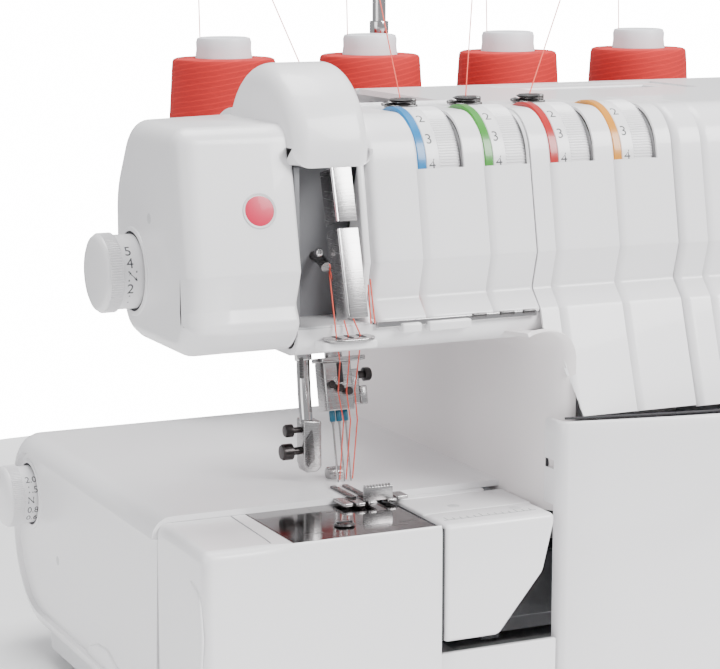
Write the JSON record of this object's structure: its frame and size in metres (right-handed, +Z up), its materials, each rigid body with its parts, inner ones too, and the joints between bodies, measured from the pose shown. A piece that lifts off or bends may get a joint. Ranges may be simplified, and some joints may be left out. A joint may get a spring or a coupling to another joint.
{
  "type": "serger overlock machine",
  "caption": "Free-arm overlock sewing machine with tilted needle bar, colour-ringed tension dials, mirror needle plate, fold-down front cover, rear thread cones and telescopic guide pole.",
  "frame": {"origin": "centre of the whole machine's footprint, on the surface it stands on", "axes": "+X to the machine's right as its user sees it, +Y to the back, +Z up"},
  "size_m": [0.385, 0.294, 0.369],
  "materials": {
    "case_white": "glossy",
    "case_grey": "satin",
    "rubber": "matte",
    "casting": "cast",
    "steel": "brushed",
    "chrome": "polished",
    "mirror_plate": "polished",
    "dark_steel": "satin",
    "black_steel": "satin",
    "badge_red": "glossy",
    "ring_blue": "glossy",
    "ring_green": "glossy",
    "ring_red": "glossy",
    "ring_yellow": "glossy",
    "motor_paint": "satin",
    "lamp_glow": "frosted",
    "black_plastic": "satin",
    "core_white": "satin",
    "thread_red": "wound thread"
  },
  "bodies": {
    "root": {"base_pan": "case_grey", "rubber_feet": "rubber", "frame_casting": "casting", "bed_shell": "case_white", "throat_liner": "case_white", "rear_cover": "case_white", "head_shell": "case_white", "arm_shell": "case_white", "tension_panel": "case_white", "right_panel": "case_white", "take_up_dome": "case_white", "hinge_pins": "steel", "needle_plate": "mirror_plate", "plate_screws": "steel", "take_up_guard": "chrome", "thread_guide_plate": "chrome", "arm_rail": "chrome", "badge": "badge_red", "tension_shaft": "steel", "pretension_guides": "dark_steel", "drive_belt": "rubber", "motor": "motor_paint", "lamp": "lamp_glow", "inlet_socket": "black_plastic", "spool_stand": "case_white", "cone_cores": "core_white", "cone_windings": "thread_red", "pole_tube": "chrome", "needle_threads": "thread_red", "cone_threads": "thread_red"},
    "side_door": {"side_cover": "case_white"},
    "cover_slider": {"cover_rod": "steel"},
    "front_door": {"front_cover": "case_white"},
    "stitch_table": {"chain_table": "case_white"},
    "length_knob": {"stitch_length_dial": "case_white"},
    "feed_knob": {"feed_dial": "case_white"},
    "tension_1": {"tension_dial_1": "ring_blue"},
    "tension_2": {"tension_dial_2": "ring_green"},
    "tension_3": {"tension_dial_3": "ring_red"},
    "tension_4": {"tension_dial_4": "ring_yellow"},
    "presser": {"presser_bar": "chrome", "foot_screws": "dark_steel"},
    "foot": {"presser_foot": "chrome"},
    "needle_carrier": {"needle_bar": "chrome", "needle_clamp": "chrome", "needles": "steel", "needle_screws": "black_steel"},
    "take_up": {"take_up_lever": "dark_steel"},
    "lifter": {"presser_lifter": "case_white"},
    "drive": {"handwheel": "case_white", "main_shaft": "steel"},
    "motor_rotor": {"motor_pulley": "steel"},
    "arm_drive": {"arm_shaft": "steel"},
    "lower_looper_arm": {"lower_looper": "chrome"},
    "upper_looper_arm": {"upper_looper": "chrome"},
    "feed": {"feed_dogs": "dark_steel"},
    "knife": {"upper_knife": "steel"},
    "switch": {"power_switch": "black_plastic"},
    "handle": {"carry_handle": "case_white"},
    "thread_tree": {"guide_pole": "chrome"}
  },
  "joints": [
    {"name": "side_cover_hinge", "type": "hinge", "parent": "root", "child": "side_door", "pos_m": [-0.1735, -0.088, 0.055], "axis": [0, 0, 1], "range_deg": [-95, 0]},
    {"name": "front_cover_slide", "type": "slide", "parent": "root", "child": "cover_slider", "axis": [1, 0, 0], "range_m": [0, 0.008]},
    {"name": "front_cover_hinge", "type": "hinge", "parent": "cover_slider", "child": "front_door", "pos_m": [0.0655, -0.1375, 0.016], "axis": [1, 0, 0], "range_deg": [0, 90]},
    {"name": "stitch_table_slide", "type": "slide", "parent": "root", "child": "stitch_table", "axis": [0, -1, 0], "range_m": [0, 0.06]},
    {"name": "stitch_length_turn", "type": "hinge", "parent": "root", "child": "length_knob", "pos_m": [-0.1775, -0.065, 0.188], "axis": [1, 0, 0], "range_deg": [-140, 100]},
    {"name": "feed_ratio_turn", "type": "hinge", "parent": "root", "child": "feed_knob", "pos_m": [-0.1775, 0.076, 0.07], "axis": [1, 0, 0], "range_deg": [-110, 110]},
    {"name": "tension_1_turn", "type": "hinge", "parent": "root", "child": "tension_1", "pos_m": [-0.0695, -0.085, 0.2245], "axis": [1, 0, 0], "range_deg": [-150, 150]},
    {"name": "tension_2_turn", "type": "hinge", "parent": "root", "child": "tension_2", "pos_m": [-0.041, -0.085, 0.2245], "axis": [1, 0, 0], "range_deg": [-150, 150]},
    {"name": "tension_3_turn", "type": "hinge", "parent": "root", "child": "tension_3", "pos_m": [-0.0125, -0.085, 0.2245], "axis": [1, 0, 0], "range_deg": [-150, 150]},
    {"name": "tension_4_turn", "type": "hinge", "parent": "root", "child": "tension_4", "pos_m": [0.016, -0.085, 0.2245], "axis": [1, 0, 0], "range_deg": [-150, 150]},
    {"name": "presser_slide", "type": "slide", "parent": "root", "child": "presser", "axis": [0, 0.213, 0.977], "range_m": [0, 0.006]},
    {"name": "foot_pivot", "type": "hinge", "parent": "presser", "child": "foot", "pos_m": [-0.0995, -0.057, 0.0995], "axis": [1, 0, 0], "range_deg": [-8, 0]},
    {"name": "needle_slide", "type": "slide", "parent": "root", "child": "needle_carrier", "axis": [0, 0.213, 0.977], "range_m": [-0.008, 0.02], "deforming": ["needle_threads"]},
    {"name": "take_up_turn", "type": "hinge", "parent": "root", "child": "take_up", "pos_m": [-0.1155, -0.077, 0.191], "axis": [1, 0, 0], "range_deg": [-20, 25]},
    {"name": "presser_lifter_turn", "type": "hinge", "parent": "root", "child": "lifter", "pos_m": [0.0325, 0.035, 0.157], "axis": [1, 0, 0], "range_deg": [0, 50]},
    {"name": "handwheel_turn", "type": "hinge", "parent": "root", "child": "drive", "pos_m": [0.0705, -0.005, 0.05], "axis": [1, 0, 0], "continuous": true},
    {"name": "motor_turn", "type": "hinge", "parent": "root", "child": "motor_rotor", "pos_m": [0.1105, 0.043, 0.043], "axis": [1, 0, 0], "continuous": true},
    {"name": "arm_shaft_turn", "type": "hinge", "parent": "root", "child": "arm_drive", "pos_m": [0.0305, -0.045, 0.199], "axis": [1, 0, 0], "continuous": true},
    {"name": "lower_looper_swing", "type": "hinge", "parent": "root", "child": "lower_looper_arm", "pos_m": [-0.0595, -0.065, 0.037], "axis": [0, 1, 0], "range_deg": [-10, 10]},
    {"name": "upper_looper_swing", "type": "hinge", "parent": "root", "child": "upper_looper_arm", "pos_m": [-0.0595, -0.065, 0.037], "axis": [0, 1, 0], "range_deg": [-10, 10]},
    {"name": "feed_stroke", "type": "slide", "parent": "root", "child": "feed", "axis": [0, 1, 0], "range_m": [-0.002, 0.002]},
    {"name": "knife_stroke", "type": "hinge", "parent": "root", "child": "knife", "pos_m": [-0.0745, -0.041, 0.061], "axis": [1, 0, 0], "range_deg": [0, 10]},
    {"name": "power_switch_rock", "type": "hinge", "parent": "root", "child": "switch", "pos_m": [0.1695, 0.037, 0.063], "axis": [0, 0, 1], "range_deg": [-6, 6]},
    {"name": "handle_fold", "type": "hinge", "parent": "root", "child": "handle", "pos_m": [0.0725, 0.036, 0.2415], "axis": [1, 0, 0], "range_deg": [-90, 0]},
    {"name": "guide_pole_slide", "type": "slide", "parent": "root", "child": "thread_tree", "axis": [0, 0, 1], "range_m": [-0.08, 0], "deforming": ["cone_threads"]}
  ],
  "couplings": [
    {"joint": "motor_turn", "follows": "handwheel_turn", "ratio": 2.5},
    {"joint": "arm_shaft_turn", "follows": "handwheel_turn", "ratio": 1},
    {"joint": "presser_slide", "follows": "presser_lifter_turn", "m_per_rad": 0.006875}
  ]
}
